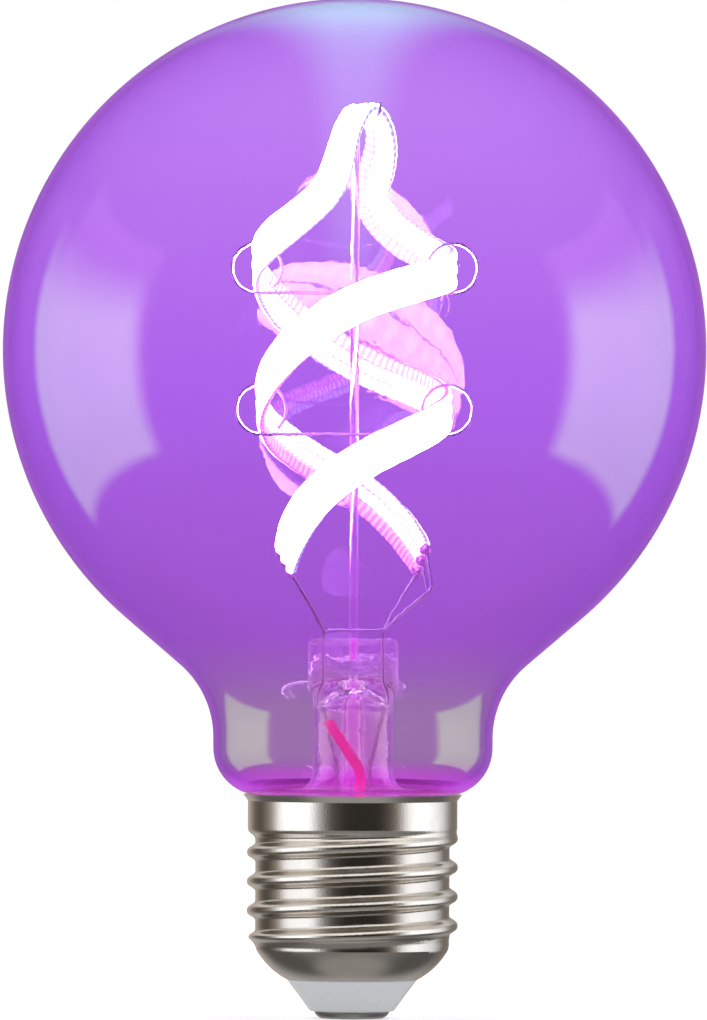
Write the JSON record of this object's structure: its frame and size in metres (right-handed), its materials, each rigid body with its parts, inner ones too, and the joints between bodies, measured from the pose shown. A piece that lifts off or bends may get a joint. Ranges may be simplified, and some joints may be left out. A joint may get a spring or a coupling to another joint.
{
  "type": "spiral filament led globe bulb",
  "caption": "Clear globe lamp bulb on a screw cap, with flexible LED filament strips wound as a double spiral round a glass rod, lit violet.",
  "frame": {"origin": "on the lamp's axis at the face of the centre contact", "axes": "+Z along the axis from the contact to the top of the globe, +X to the right in the picture's view, +Y away from the viewer"},
  "size_m": [0.0876, 0.0876, 0.127],
  "materials": {
    "globe_glass": "clear, polished, lilac in its own light",
    "stem_glass": "clear, fire-polished",
    "support_wire": "bright drawn wire",
    "filament_red": "phosphor silicone, lit",
    "filament_green": "phosphor silicone, lit",
    "filament_blue": "phosphor silicone, lit",
    "solder": "bright solder",
    "lead_wire": "bright drawn wire",
    "red_sleeve": "satin",
    "nickel_plate": "bright nickel plate",
    "white_insulator": "glossy",
    "contact_metal": "tinned",
    "cement": "matt",
    "circuit_board": "satin",
    "black_plastic": "satin",
    "capacitor_can": "sleeved can",
    "choke_winding": "varnished",
    "resistor_coat": "satin",
    "cap_wire": "tinned copper"
  },
  "bodies": {
    "root": {"glass_envelope": "globe_glass", "glass_stem": "stem_glass", "exhaust_tube": "stem_glass", "support_rod": "stem_glass", "top_hook": "support_wire", "upper_support_wire": "support_wire", "lower_support_wire": "support_wire", "filament_red": "filament_red", "filament_green": "filament_green", "filament_blue": "filament_blue", "solder_joints": "solder", "common_lead": "lead_wire", "red_lead": "lead_wire", "green_lead": "lead_wire", "blue_lead": "lead_wire", "lead_sleeve": "red_sleeve", "screw_shell": "nickel_plate", "cap_insulator": "white_insulator", "centre_contact": "contact_metal", "cap_cement": "cement", "driver_board": "circuit_board", "bridge_rectifier": "black_plastic", "driver_chip": "black_plastic", "smoothing_capacitor": "capacitor_can", "choke_coil": "choke_winding", "fusible_resistor": "resistor_coat", "live_wire": "cap_wire", "neutral_wire": "cap_wire"}
  },
  "joints": []
}
